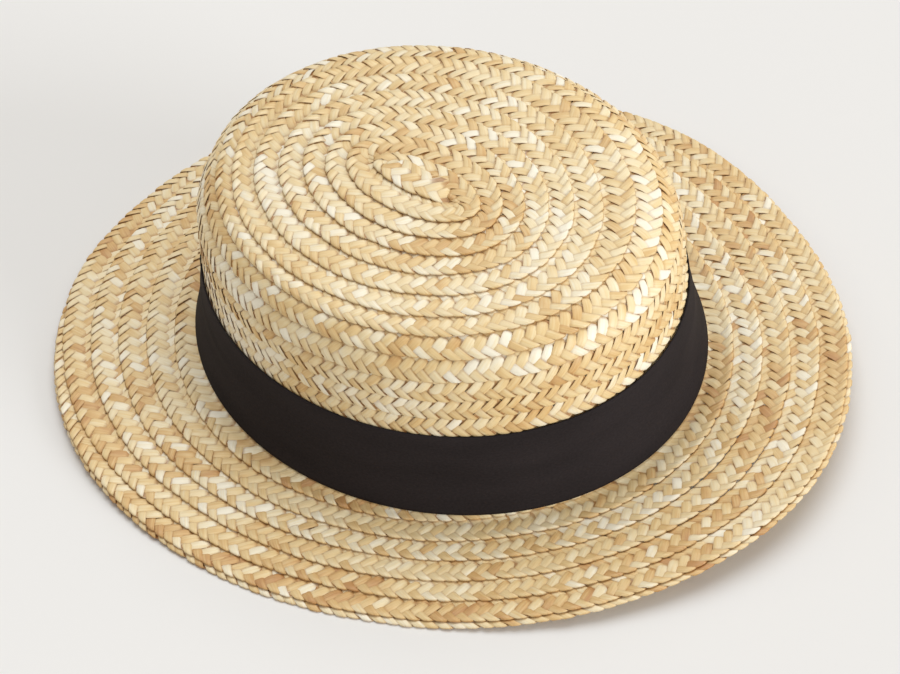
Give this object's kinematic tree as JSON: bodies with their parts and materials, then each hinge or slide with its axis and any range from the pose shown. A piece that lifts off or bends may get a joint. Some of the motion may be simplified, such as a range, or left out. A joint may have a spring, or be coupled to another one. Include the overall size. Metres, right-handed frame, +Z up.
{
  "type": "straw boater hat",
  "caption": "Stiff straw boater with a flat oval crown, a flat brim and a plain dark ribbon round the crown, standing on its brim.",
  "frame": {"origin": "on the floor, under the middle of the outline of the brim", "axes": "+X along the hat's long axis, towards the end where the brim is wider; +Y across the hat; +Z up, out of the crown"},
  "size_m": [0.298, 0.2692, 0.0819],
  "materials": {
    "pale_straw": "satin plaited straw",
    "straw": "satin plaited straw",
    "brim_straw": "satin plaited straw",
    "edge_straw": "satin plaited straw",
    "black_ribbon": "matt woven ribbon"
  },
  "bodies": {
    "root": {"crown_tip": "pale_straw", "crown_side": "straw", "brim": "brim_straw", "brim_edge_plait": "edge_straw", "hatband_ribbon": "black_ribbon"}
  },
  "joints": []
}
